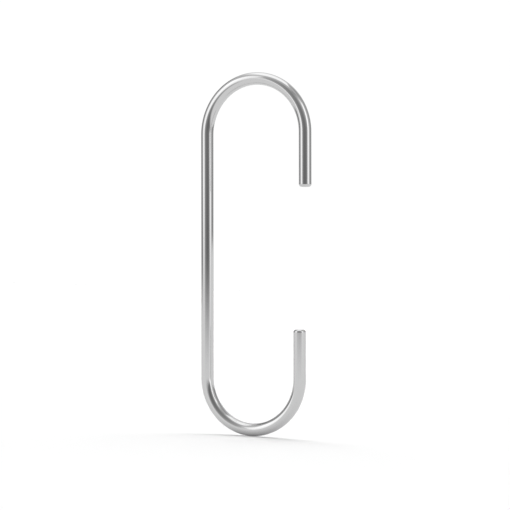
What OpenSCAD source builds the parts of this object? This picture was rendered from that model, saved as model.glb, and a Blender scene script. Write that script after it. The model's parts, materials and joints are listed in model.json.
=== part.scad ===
// Ornament hook: one length of round wire, with a half-turn bend at each end.
// Both bends turn the same way, so the hook is an open letter C.
// The origin is the point inside the crown of the upper bend that bears on the
// branch or rail. +Z is up, along the stem, and +X runs from the stem to the open side.

/* [Wire] */
// Diameter of the round wire
wire_d = 2; // [1.2:0.1:3]
// Radius of the edge round each cut end
end_round = 0.45; // [0.1:0.05:0.55]

/* [Hook] */
// Overall height, from crown to crown
hook_h = 58; // [52:1:120]

/* [Upper bend] */
// Clear width between the stem and the upper arm
upper_gap = 15.5; // [8:0.5:22]
// Straight length of the upper arm, from its bend to its cut end
upper_arm = 8.7; // [3:0.1:11]

/* [Lower bend] */
// Clear width between the stem and the lower arm
lower_gap = 14.5; // [8:0.5:22]
// Straight length of the lower arm, from its bend to its cut end
lower_arm = 7.8; // [3:0.1:11]

/* [Hidden] */
$fn = 96;

wire_r = wire_d / 2;
// Radius of each bend, at the middle of the wire
upper_bend_r = upper_gap / 2 + wire_r;
lower_bend_r = lower_gap / 2 + wire_r;
// The stem's middle line, and the heights at which the bends start
stem_x = -upper_bend_r;
upper_z = -upper_gap / 2;
lower_z = 2 * wire_d - hook_h + lower_gap / 2;

// Straight wire, upwards from the origin
module straight(length) {
    cylinder(h = length, r = wire_r);
}

// Straight wire, upwards from the origin, whose far end is cut square with its edge rounded
module arm(length) {
    rotate_extrude() {
        square([wire_r, length - end_round]);
        square([wire_r - end_round, length]);
        translate([wire_r - end_round, length - end_round])
            intersection() {
                circle(end_round);
                square(end_round);
            }
    }
}

// Half a turn of wire over the origin, from +X up and round to -X
module half_turn(bend_r) {
    rotate([90, 0, 0])
        rotate_extrude(angle = 180)
            translate([bend_r, 0])
                circle(wire_r);
}

// Half a turn from the stem to its arm, and the arm running back along the stem.
// The bend's centre is at the origin, with the stem at -X.
module hook_end(bend_r, arm_length) {
    half_turn(bend_r);
    translate([bend_r, 0, 0])
        rotate([180, 0, 0])
            arm(arm_length);
}

module wire_hook() {
    color([0.78, 0.79, 0.8]) {
        translate([stem_x, 0, lower_z])
            straight(upper_z - lower_z);
        translate([stem_x + upper_bend_r, 0, upper_z])
            hook_end(upper_bend_r, upper_arm);
        translate([stem_x + lower_bend_r, 0, lower_z])
            rotate([180, 0, 0])
                hook_end(lower_bend_r, lower_arm);
    }
}

wire_hook();
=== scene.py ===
"""An ornament hook of bright round steel wire, standing on a white studio floor among soft cards."""

import json
import math
from collections import namedtuple

import bpy
from mathutils import Matrix, Vector


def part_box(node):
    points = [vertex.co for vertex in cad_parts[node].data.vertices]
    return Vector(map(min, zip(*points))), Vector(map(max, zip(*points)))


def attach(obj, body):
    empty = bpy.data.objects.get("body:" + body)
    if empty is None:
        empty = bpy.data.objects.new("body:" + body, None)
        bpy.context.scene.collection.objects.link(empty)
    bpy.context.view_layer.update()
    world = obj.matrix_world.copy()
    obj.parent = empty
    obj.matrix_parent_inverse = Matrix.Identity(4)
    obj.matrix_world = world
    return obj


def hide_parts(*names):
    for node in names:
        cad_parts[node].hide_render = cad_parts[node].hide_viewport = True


MM = 0.001
WHITE = (1, 1, 1, 1)

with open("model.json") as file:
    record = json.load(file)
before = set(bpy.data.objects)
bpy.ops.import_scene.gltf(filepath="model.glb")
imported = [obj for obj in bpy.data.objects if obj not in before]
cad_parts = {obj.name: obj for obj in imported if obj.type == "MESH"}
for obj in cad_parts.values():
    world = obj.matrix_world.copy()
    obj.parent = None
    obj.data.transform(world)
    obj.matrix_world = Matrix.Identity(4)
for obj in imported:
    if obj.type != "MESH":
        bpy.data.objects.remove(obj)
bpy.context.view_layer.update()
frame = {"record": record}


# ---------------------------------------------------------------- sizes, worked out from the frame

MOUNTS = {m["name"]: m for m in frame["record"]["mounts"]}
BOX_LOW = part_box("wire_hook")[0]

# Radius of the edge round each cut end, as on the solid
END_ROUND = 0.45 * MM
WIRE_R = MOUNTS["upper_arm"]["dims"]["r_mm"] * MM
STEM_X = BOX_LOW.x + WIRE_R
UPPER_ARM_X = MOUNTS["upper_arm"]["pos_m"][0]
LOWER_ARM_X = MOUNTS["lower_arm"]["pos_m"][0]
UPPER_BEND_R = (UPPER_ARM_X - STEM_X) / 2
LOWER_BEND_R = (LOWER_ARM_X - STEM_X) / 2
# Where the bends start: each bend's crown bears on its mount, on the inside of the wire
UPPER_Z = MOUNTS["upper_bend"]["pos_m"][2] - (UPPER_BEND_R - WIRE_R)
LOWER_Z = MOUNTS["lower_bend"]["pos_m"][2] + (LOWER_BEND_R - WIRE_R)
UPPER_CENTRE = Vector(((STEM_X + UPPER_ARM_X) / 2, 0, UPPER_Z))
LOWER_CENTRE = Vector(((STEM_X + LOWER_ARM_X) / 2, 0, LOWER_Z))
FLOOR_Z = LOWER_Z - LOWER_BEND_R - WIRE_R


def arm_length(mount, bend_z):
    """Straight wire from a bend to the cut end: the mount's round wall and the rounded edge past it."""
    half_wall = mount["dims"]["length_mm"] * MM / 2
    return abs(mount["pos_m"][2] - bend_z) + half_wall + END_ROUND


UPPER_ARM = arm_length(MOUNTS["upper_arm"], UPPER_Z)
LOWER_ARM = arm_length(MOUNTS["lower_arm"], LOWER_Z)


# ---------------------------------------------------------------- camera

# The camera's direction, roll, target and lens weren't chosen by hand. They are a program's fit of the
# hook's outline to the photograph, rounded.
# Direction from the hook to the camera, as an azimuth from the hook's front and a height above level
CAMERA_AZIMUTH = math.radians(27.04)
CAMERA_HEIGHT = math.radians(-0.52)
CAMERA_ROLL = math.radians(-0.06)
CAMERA_DISTANCE = 386.7 * MM
CAMERA_TARGET = Vector((-0.145, 0, -27.145)) * MM
# The lens and the sensor are in Blender's own millimetres
CAMERA_LENS = 171.3
CAMERA_SENSOR = 36
CAMERA_NEAR, CAMERA_FAR = 10 * MM, 20.0

# Level directions from the hook towards the camera and to its right
TOWARDS = Vector((math.sin(CAMERA_AZIMUTH), -math.cos(CAMERA_AZIMUTH), 0))
RIGHTWARDS = Vector((math.cos(CAMERA_AZIMUTH), math.sin(CAMERA_AZIMUTH), 0))
UPWARDS = Vector((0, 0, 1))


def make_camera():
    """A camera that looks at the middle of the hook."""
    back = math.cos(CAMERA_HEIGHT) * TOWARDS + math.sin(CAMERA_HEIGHT) * UPWARDS
    upright = back.cross(RIGHTWARDS)
    right = math.cos(CAMERA_ROLL) * RIGHTWARDS + math.sin(CAMERA_ROLL) * upright
    up = back.cross(right)
    data = bpy.data.cameras.new("camera")
    data.lens = CAMERA_LENS
    data.sensor_width = CAMERA_SENSOR
    data.clip_start = CAMERA_NEAR
    data.clip_end = CAMERA_FAR
    camera = bpy.data.objects.new("camera", data)
    turn = Matrix((right, up, back)).transposed().to_4x4()
    camera.matrix_world = Matrix.Translation(CAMERA_TARGET + back * CAMERA_DISTANCE) @ turn
    bpy.context.scene.collection.objects.link(camera)
    bpy.context.scene.camera = camera


# ---------------------------------------------------------------- shader helpers

class Nodes:
    """Short calls for building a node tree."""

    def __init__(self, tree):
        self.tree = tree
        tree.nodes.clear()

    def add(self, kind, values=None, **settings):
        node = self.tree.nodes.new(kind)
        for name, value in settings.items():
            setattr(node, name, value)
        for socket, value in (values or {}).items():
            if isinstance(value, bpy.types.NodeSocket):
                self.tree.links.new(value, node.inputs[socket])
            else:
                node.inputs[socket].default_value = value
        return node

    def math(self, operation, a, b=0.0, c=0.0):
        return self.add("ShaderNodeMath", {0: a, 1: b, 2: c}, operation=operation).outputs[0]

    def ramp(self, value, low, high, to_low=0.0, to_high=1.0, kind="SMOOTHSTEP"):
        values = {"Value": value, "From Min": low, "From Max": high, "To Min": to_low, "To Max": to_high}
        return self.add("ShaderNodeMapRange", values, interpolation_type=kind).outputs["Result"]

    def blend(self, factor, a, b):
        return self.add("ShaderNodeMix", {0: factor, 2: a, 3: b}, data_type="FLOAT").outputs[0]

    def glow(self, strength):
        return self.add("ShaderNodeEmission", {"Color": WHITE, "Strength": strength}).outputs[0]

    def mix(self, factor, a, b):
        return self.add("ShaderNodeMixShader", {0: factor, 1: a, 2: b}).outputs[0]

    def surface(self, shader):
        self.add("ShaderNodeOutputMaterial", {"Surface": shader})


def new_material(name):
    material = bpy.data.materials.new(name)
    material.use_nodes = True
    return material, Nodes(material.node_tree)


# ---------------------------------------------------------------- material of the wire

STEEL = (0.57, 0.57, 0.572, 1.0)
# Grain of the drawing lines and of the haze: noise cells in the wire's radius and in its whole length
LINE_GRAIN = (6.0, 5.0)
HAZE_GRAIN = (0.8, 40.0)
GRAIN_DETAIL = 3.0
GRAIN_ROUGHNESS = 0.6
# Roughness of the bare wire, and what the lines and the haze add to it where they are strongest
BARE_ROUGHNESS = 0.03
LINE_ROUGHNESS = 0.04
HAZE_ROUGHNESS = 0.05
# Depth of the drawing lines, and how strongly they turn the light
LINE_DEPTH = 0.02 * MM
LINE_STRENGTH = 0.10
WIRE_UV = "wire"


def wire_noise(nodes, grain):
    """Noise without a seam on the wire, placed round it by angle and along it by the UV map's length."""
    across, along = grain
    uv = nodes.add("ShaderNodeUVMap", uv_map=WIRE_UV).outputs["UV"]
    split = nodes.add("ShaderNodeSeparateXYZ", {0: uv})
    angle = nodes.math("MULTIPLY", split.outputs["X"], 2 * math.pi)
    x = nodes.math("MULTIPLY", nodes.math("COSINE", angle), across)
    y = nodes.math("MULTIPLY", nodes.math("SINE", angle), across)
    z = nodes.math("MULTIPLY", split.outputs["Y"], along)
    place = nodes.add("ShaderNodeCombineXYZ", {0: x, 1: y, 2: z}).outputs[0]
    values = {"Vector": place, "Scale": 1.0, "Detail": GRAIN_DETAIL, "Roughness": GRAIN_ROUGHNESS}
    return nodes.add("ShaderNodeTexNoise", values).outputs["Fac"]


def polished_wire():
    """Bright drawn wire: hair-fine drawing lines along it, and a little haze that comes and goes."""
    material, nodes = new_material("polished_steel_wire")
    lines = wire_noise(nodes, LINE_GRAIN)
    haze = wire_noise(nodes, HAZE_GRAIN)
    lined = nodes.math("MULTIPLY_ADD", lines, LINE_ROUGHNESS, BARE_ROUGHNESS)
    roughness = nodes.math("MULTIPLY_ADD", haze, HAZE_ROUGHNESS, lined)
    relief = {"Strength": LINE_STRENGTH, "Distance": LINE_DEPTH, "Height": lines}
    bump = nodes.add("ShaderNodeBump", relief)
    shader = nodes.add("ShaderNodeBsdfPrincipled", {
        "Base Color": STEEL, "Metallic": 1.0, "Roughness": roughness, "Normal": bump.outputs[0],
    })
    nodes.surface(shader.outputs[0])
    return material


# ---------------------------------------------------------------- the wire

RING_POINTS = 96
BEND_STEP = 0.25 * MM
STRAIGHT_STEP = 0.75 * MM
ROUND_STEPS = 10
CAP_RINGS = 4
# Gap to the extra ring on each side of a cut end's rounded edge, which keeps the shading flat past it
SUPPORT = 0.03 * MM


def straight(start, end):
    """(point, tangent) pairs along a straight run, up to but not at its end."""
    steps = max(2, round((end - start).length / STRAIGHT_STEP))
    direction = (end - start).normalized()
    return [(start.lerp(end, i / steps), direction) for i in range(steps)]


def half_turn(centre, radius, begin):
    """(point, tangent) pairs round half a turn, up to but not at its end. begin is the angle of its start
    from +X, and it turns from +X towards +Z."""
    steps = round(math.pi * radius / BEND_STEP)
    pairs = []
    for i in range(steps):
        angle = begin + math.pi * i / steps
        out = Vector((math.cos(angle), 0, math.sin(angle)))
        tangent = Vector((-math.sin(angle), 0, math.cos(angle)))
        pairs.append((centre + radius * out, tangent))
    return pairs


def wire_path():
    """(point, tangent) pairs from the upper cut end, over the top and down the stem to the lower one."""
    upper_end = Vector((UPPER_ARM_X, 0, UPPER_Z - UPPER_ARM + END_ROUND))
    lower_end = Vector((LOWER_ARM_X, 0, LOWER_Z + LOWER_ARM - END_ROUND))
    return (
        straight(upper_end, Vector((UPPER_ARM_X, 0, UPPER_Z)))
        + half_turn(UPPER_CENTRE, UPPER_BEND_R, 0)
        + straight(Vector((STEM_X, 0, UPPER_Z)), Vector((STEM_X, 0, LOWER_Z)))
        + half_turn(LOWER_CENTRE, LOWER_BEND_R, math.pi)
        + straight(Vector((LOWER_ARM_X, 0, LOWER_Z)), lower_end)
        + [(lower_end, UPWARDS)]
    )


def cut_end(centre, tangent, sign):
    """Rings from the wire's full width, over a cut end's rounded edge, to near the middle of its face.
    sign is 1 where the path ends and -1 where it starts."""
    flat = WIRE_R - END_ROUND
    rings = [(centre - tangent * sign * SUPPORT, tangent, WIRE_R), (centre, tangent, WIRE_R)]
    for i in range(1, ROUND_STEPS + 1):
        angle = math.pi / 2 * i / ROUND_STEPS
        shift = sign * END_ROUND * math.sin(angle)
        rings.append((centre + tangent * shift, tangent, flat + END_ROUND * math.cos(angle)))
    face = centre + tangent * sign * END_ROUND
    rings.append((face, tangent, flat - SUPPORT))
    for i in range(CAP_RINGS - 1, 0, -1):
        rings.append((face, tangent, flat * i / CAP_RINGS))
    return rings


def wire_rings():
    """(centre, tangent, radius) for every ring, from one cut face to the other."""
    path = wire_path()
    body = [(centre, tangent, WIRE_R) for centre, tangent in path[1:-1]]
    return cut_end(*path[0], -1)[::-1] + body + cut_end(*path[-1], 1)


def ring_points(centre, tangent, radius):
    side = Vector((0, 1, 0))
    out = side.cross(tangent)
    points = []
    for k in range(RING_POINTS):
        angle = 2 * math.pi * k / RING_POINTS
        points.append(centre + radius * (math.cos(angle) * out + math.sin(angle) * side))
    return points


def shares_along(rings):
    """How far along the skin each ring is, as a share of the way from the first to the last."""
    lengths = [0.0]
    for before, ring in zip(rings, rings[1:]):
        lengths.append(lengths[-1] + math.hypot((ring[0] - before[0]).length, ring[2] - before[2]))
    return [length / lengths[-1] for length in lengths]


def wire_skin(rings):
    """Points, faces and UVs of the skin. The UVs run from 0 to 1 round the wire and along it."""
    verts = [point for ring in rings for point in ring_points(*ring)]
    shares = shares_along(rings)
    faces, uvs = [], []
    for i, (v0, v1) in enumerate(zip(shares, shares[1:])):
        low, high = i * RING_POINTS, (i + 1) * RING_POINTS
        for k in range(RING_POINTS):
            j = (k + 1) % RING_POINTS
            faces.append((low + k, low + j, high + j, high + k))
            u0, u1 = k / RING_POINTS, (k + 1) / RING_POINTS
            uvs.extend([(u0, v0), (u1, v0), (u1, v1), (u0, v1)])
    return verts, faces, uvs


def close_face(skin, centre, ring, share, flip):
    """Fills the last ring of a cut face with triangles round its centre."""
    verts, faces, uvs = skin
    middle = len(verts)
    verts.append(centre)
    for k in range(RING_POINTS):
        a, b = ring * RING_POINTS + k, ring * RING_POINTS + (k + 1) % RING_POINTS
        u0, u1 = k / RING_POINTS, (k + 1) / RING_POINTS
        faces.append((b, a, middle) if flip else (a, b, middle))
        uvs.extend([(u1, share), (u0, share)] if flip else [(u0, share), (u1, share)])
        uvs.append((u0, share))


def make_wire():
    """The whole hook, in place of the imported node."""
    rings = wire_rings()
    skin = wire_skin(rings)
    close_face(skin, rings[0][0], 0, 0.0, True)
    close_face(skin, rings[-1][0], len(rings) - 1, 1.0, False)
    verts, faces, uvs = skin
    mesh = bpy.data.meshes.new("hook_wire")
    mesh.from_pydata(verts, [], faces)
    layer = mesh.uv_layers.new(name=WIRE_UV)
    layer.data.foreach_set("uv", [value for uv in uvs for value in uv])
    mesh.polygons.foreach_set("use_smooth", [True] * len(mesh.polygons))
    mesh.validate()
    mesh.materials.append(polished_wire())
    wire = bpy.data.objects.new("hook_wire", mesh)
    bpy.context.scene.collection.objects.link(wire)
    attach(wire, "root")
    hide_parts("wire_hook")


# ---------------------------------------------------------------- cards that the wire reflects

# The point on the floor that the cards are measured from
STUDIO = Vector((0, 0, FLOOR_Z))
CARD_UV = "card"

# A card's edges, and the widths over which it fades out along them
Edges = namedtuple("Edges", "left right foot head")
# A card's brightness: its middle value, its rise from left to right and from foot to head, how far it
# bows up towards the sides and towards foot and head, and its twist, which lifts two opposite corners
Glow = namedtuple("Glow", "middle lean rise bow_across bow_up twist")


def plane(name, corner, along, up):
    """A four-sided sheet from a corner, with a UV map that runs from 0 to 1 each way."""
    mesh = bpy.data.meshes.new(name)
    mesh.from_pydata([corner, corner + along, corner + along + up, corner + up], [], [(0, 1, 2, 3)])
    layer = mesh.uv_layers.new(name=CARD_UV)
    layer.data.foreach_set("uv", [0, 0, 1, 0, 1, 1, 0, 1])
    obj = bpy.data.objects.new(name, mesh)
    bpy.context.scene.collection.objects.link(obj)
    return obj


def soft_edges(nodes, place, size, low, high):
    """1 inside the card, falling to 0 over a soft width at each of two opposite edges."""
    near = nodes.ramp(place, 0.0, low / size)
    far = nodes.ramp(place, 1.0 - high / size, 1.0, 1.0, 0.0)
    return nodes.math("MULTIPLY", near, far)


def card_material(name, width, height, fades, glow):
    """A glow that fades out at the card's edges."""
    material, nodes = new_material(name)
    uv = nodes.add("ShaderNodeUVMap", uv_map=CARD_UV).outputs["UV"]
    split = nodes.add("ShaderNodeSeparateXYZ", {0: uv})
    across_mask = soft_edges(nodes, split.outputs["X"], width, fades.left, fades.right)
    up_mask = soft_edges(nodes, split.outputs["Y"], height, fades.foot, fades.head)
    mask = nodes.math("MULTIPLY", across_mask, up_mask)
    across = nodes.math("SUBTRACT", split.outputs["X"], 0.5)
    up = nodes.math("SUBTRACT", split.outputs["Y"], 0.5)
    lean = nodes.math("MULTIPLY_ADD", up, glow.twist, glow.lean)
    lean = nodes.math("MULTIPLY_ADD", across, glow.bow_across, lean)
    rise = nodes.math("MULTIPLY_ADD", up, glow.bow_up, glow.rise)
    strength = nodes.math("MULTIPLY_ADD", up, rise, glow.middle)
    strength = nodes.math("MULTIPLY_ADD", across, lean, strength)
    strength = nodes.math("MAXIMUM", strength, 0.0)
    clear = nodes.add("ShaderNodeBsdfTransparent").outputs[0]
    nodes.surface(nodes.mix(mask, clear, nodes.glow(strength)))
    return material


def make_card(name, middle, along, up, edges, fades, glow, slant):
    """A card that only reflections see, in the plane of along and up through a point. Its edges are
    measured from that point, and slant is how far its sides lean along for each millimetre up. Lengths
    are in millimetres."""
    width, height = edges.right - edges.left, edges.head - edges.foot
    corner = middle + along * (edges.left - slant * height / 2) + up * edges.foot
    side = up + slant * along
    card = plane(name, STUDIO + corner * MM, along * width * MM, side * height * MM)
    card.data.materials.append(card_material(name, width, height, fades, glow))
    card.visible_camera = False
    card.visible_diffuse = False
    card.visible_shadow = False


def upright_card(name, azimuth, distance, edges, fades, glow, slant=0.0):
    """A card that faces the hook. azimuth is in degrees from the camera's direction, positive to its
    right."""
    turn = math.radians(azimuth)
    facing = math.cos(turn) * TOWARDS + math.sin(turn) * RIGHTWARDS
    along = math.cos(turn) * RIGHTWARDS - math.sin(turn) * TOWARDS
    make_card(name, facing * distance, along, UPWARDS, edges, fades, glow, slant)


def ceiling_card(name, height, edges, fades, glow, slant=0.0):
    """A level card over the hook, with its foot at the back and its head towards the camera."""
    make_card(name, UPWARDS * height, RIGHTWARDS, TOWARDS, edges, fades, glow, slant)


def make_cards():
    """The softboxes and the greyer cards whose reflections make the bright and dark bands on the wire."""
    # Only the azimuths and the two big softboxes' distances were chosen one by one. The other values are
    # a program's fit to the grey values along the wire in the photograph, rounded.

    # The dark band down the middle of the stem and the arms
    upright_card(
        "front_card", azimuth=-5, distance=100,
        edges=Edges(left=-103, right=153, foot=3, head=184),
        fades=Edges(left=1, right=39, foot=29, head=23),
        glow=Glow(middle=0.35, lean=0.60, rise=0.50, bow_across=2.25, bow_up=0.20, twist=1.05),
    )
    # The bright bands on each side of it
    upright_card(
        "left_softbox", azimuth=-72, distance=600, slant=0.05,
        edges=Edges(left=-230, right=215, foot=15, head=690),
        fades=Edges(left=1, right=20, foot=50, head=300),
        glow=Glow(middle=1.80, lean=-0.45, rise=0.75, bow_across=-1.25, bow_up=-0.05, twist=-2.75),
    )
    upright_card(
        "right_softbox", azimuth=52, distance=600, slant=0.05,
        edges=Edges(left=-225, right=335, foot=-20, head=650),
        fades=Edges(left=5, right=265, foot=110, head=1),
        glow=Glow(middle=1.85, lean=-1.05, rise=-0.35, bow_across=2.35, bow_up=-0.95, twist=3.85),
    )
    # The grey bands towards the wire's two sides
    upright_card(
        "back_left_card", azimuth=-123, distance=140, slant=-0.20,
        edges=Edges(left=-60, right=75, foot=15, head=200),
        fades=Edges(left=1, right=45, foot=15, head=40),
        glow=Glow(middle=0.45, lean=0.60, rise=0.50, bow_across=0.35, bow_up=0.15, twist=3.95),
    )
    upright_card(
        "back_right_card", azimuth=105, distance=110, slant=-0.15,
        edges=Edges(left=-75, right=70, foot=30, head=300),
        fades=Edges(left=5, right=55, foot=5, head=110),
        glow=Glow(middle=0.55, lean=-0.45, rise=-0.05, bow_across=-0.55, bow_up=-0.95, twist=1.30),
    )
    # A short streak on the right shoulder of each bend
    upright_card(
        "front_top_card", azimuth=20, distance=145, slant=0.40,
        edges=Edges(left=-75, right=95, foot=100, head=275),
        fades=Edges(left=20, right=5, foot=1, head=1),
        glow=Glow(middle=0.90, lean=1.20, rise=-1.80, bow_across=1.35, bow_up=2.00, twist=-1.00),
    )
    # The hair lines at the very edges of the wire
    upright_card(
        "rear_card", azimuth=180, distance=150, slant=0.15,
        edges=Edges(left=-85, right=140, foot=-20, head=200),
        fades=Edges(left=1, right=115, foot=100, head=55),
        glow=Glow(middle=0.50, lean=-1.35, rise=1.00, bow_across=-1.40, bow_up=-0.95, twist=-1.55),
    )
    # The highlights on top of the crown and in the lower bend
    ceiling_card(
        "top_softbox", height=295, slant=-0.25,
        edges=Edges(left=-185, right=110, foot=-250, head=115),
        fades=Edges(left=115, right=25, foot=5, head=50),
        glow=Glow(middle=1.60, lean=-0.35, rise=0.55, bow_across=-0.35, bow_up=-2.25, twist=2.10),
    )


# ---------------------------------------------------------------- floor, light and surroundings

# The floor in the photograph falls a little to the right
FLOOR_TILT = math.radians(2.1)
# Half the floor's width, in metres
FLOOR_REACH = 4.0
# The floor glows a little, so that it is just white where nothing shades it. Well away from the hook it
# glows more, so that it runs into the white behind without a line
FLOOR_WHITE = 0.85
NEAR_GLOW, FAR_GLOW = 0.16, 0.24
NEAR_WITHIN, FAR_BEYOND = 60 * MM, 400 * MM
# What the wire sees in the floor is painted shade from ambient occlusion: how far round it the hook
# shades it, and how finely that is sampled
PAINTED_SHADE_REACH = 60 * MM
PAINTED_SHADE_SAMPLES = 16

# A quarter of the floor's light comes from all round, and the rest from a broad light behind the hook
ROUND_LIGHT = 0.25
BACK_LIGHT_AZIMUTH = math.radians(175)
BACK_LIGHT_HEIGHT = math.radians(40)
BACK_LIGHT_WIDTH = math.radians(80)

# Brightness of the white surroundings: as the camera sees them, and as the wire reflects them beyond the
# cards, at the horizon and overhead
BACKDROP = 1.02
SKY_LOW, SKY_HIGH = 1.00, 0.64


def floor_material(touch):
    """Matt white. The wire reflects it as a glow with the hook's shade painted in from ambient occlusion,
    standing for plain open light from all round, which comes out without the grain that the back light
    would leave in so small a reflection."""
    material, nodes = new_material("white_floor")
    diffuse = nodes.add("ShaderNodeBsdfDiffuse", {"Color": (FLOOR_WHITE, FLOOR_WHITE, FLOOR_WHITE, 1)})
    place = nodes.add("ShaderNodeNewGeometry").outputs["Position"]
    away = nodes.add("ShaderNodeVectorMath", {0: place, 1: touch}, operation="DISTANCE").outputs["Value"]
    glow = nodes.glow(nodes.ramp(away, NEAR_WITHIN, FAR_BEYOND, NEAR_GLOW, FAR_GLOW))
    seen = nodes.add("ShaderNodeAddShader", {0: diffuse.outputs[0], 1: glow}).outputs[0]
    shade = {"Distance": PAINTED_SHADE_REACH}
    painted_shade_openness = nodes.add("ShaderNodeAmbientOcclusion", shade, samples=PAINTED_SHADE_SAMPLES).outputs["AO"]
    # Painted shade: the floor that the wire reflects glows darker where ambient occlusion finds the hook
    # close by
    reflected = nodes.glow(nodes.math("MULTIPLY_ADD", painted_shade_openness, FLOOR_WHITE, NEAR_GLOW))
    glossy = nodes.add("ShaderNodeLightPath").outputs["Is Glossy Ray"]
    nodes.surface(nodes.mix(glossy, seen, reflected))
    return material


def make_floor():
    """A tilted plane that touches the wire under the lower bend."""
    right = math.cos(FLOOR_TILT) * RIGHTWARDS - math.sin(FLOOR_TILT) * UPWARDS
    normal = right.cross(-TOWARDS)
    # The floor's upward direction, as seen square to the bend
    up_in_bend = Vector((normal.x, 0, normal.z)).normalized()
    touch = LOWER_CENTRE - LOWER_BEND_R * up_in_bend - WIRE_R * normal
    corner = touch - FLOOR_REACH * right + FLOOR_REACH * TOWARDS
    floor = plane("floor", corner, 2 * FLOOR_REACH * right, -2 * FLOOR_REACH * TOWARDS)
    floor.data.materials.append(floor_material(touch))


def make_back_light():
    """The broad light behind the hook, which gives the soft shadow before it and isn't reflected."""
    data = bpy.data.lights.new("back_light", "SUN")
    data.energy = (1 - ROUND_LIGHT) * math.pi / math.sin(BACK_LIGHT_HEIGHT)
    data.angle = BACK_LIGHT_WIDTH
    level = math.cos(BACK_LIGHT_AZIMUTH) * TOWARDS + math.sin(BACK_LIGHT_AZIMUTH) * RIGHTWARDS
    source = math.cos(BACK_LIGHT_HEIGHT) * level + math.sin(BACK_LIGHT_HEIGHT) * UPWARDS
    light = bpy.data.objects.new("back_light", data)
    light.rotation_mode = "QUATERNION"
    light.rotation_quaternion = source.to_track_quat("Z", "Y")
    light.visible_glossy = False
    bpy.context.scene.collection.objects.link(light)


def make_world():
    """White all round, dimmer for the light it throws on the floor."""
    world = bpy.data.worlds.new("studio")
    world.use_nodes = True
    nodes = Nodes(world.node_tree)
    direction = nodes.add("ShaderNodeTexCoord").outputs["Generated"]
    height = nodes.add("ShaderNodeSeparateXYZ", {0: direction}).outputs["Z"]
    reflected = nodes.ramp(height, 0.0, 1.0, SKY_LOW, SKY_HIGH, kind="LINEAR")
    rays = nodes.add("ShaderNodeLightPath").outputs
    strength = nodes.blend(rays["Is Diffuse Ray"], BACKDROP, ROUND_LIGHT)
    strength = nodes.blend(rays["Is Glossy Ray"], strength, reflected)
    back = nodes.add("ShaderNodeBackground", {"Color": WHITE, "Strength": strength})
    nodes.add("ShaderNodeOutputWorld", {"Surface": back.outputs[0]})
    bpy.context.scene.world = world


bpy.context.scene.view_settings.view_transform = "Standard"
make_camera()
make_wire()
make_world()
make_floor()
make_back_light()
make_cards()
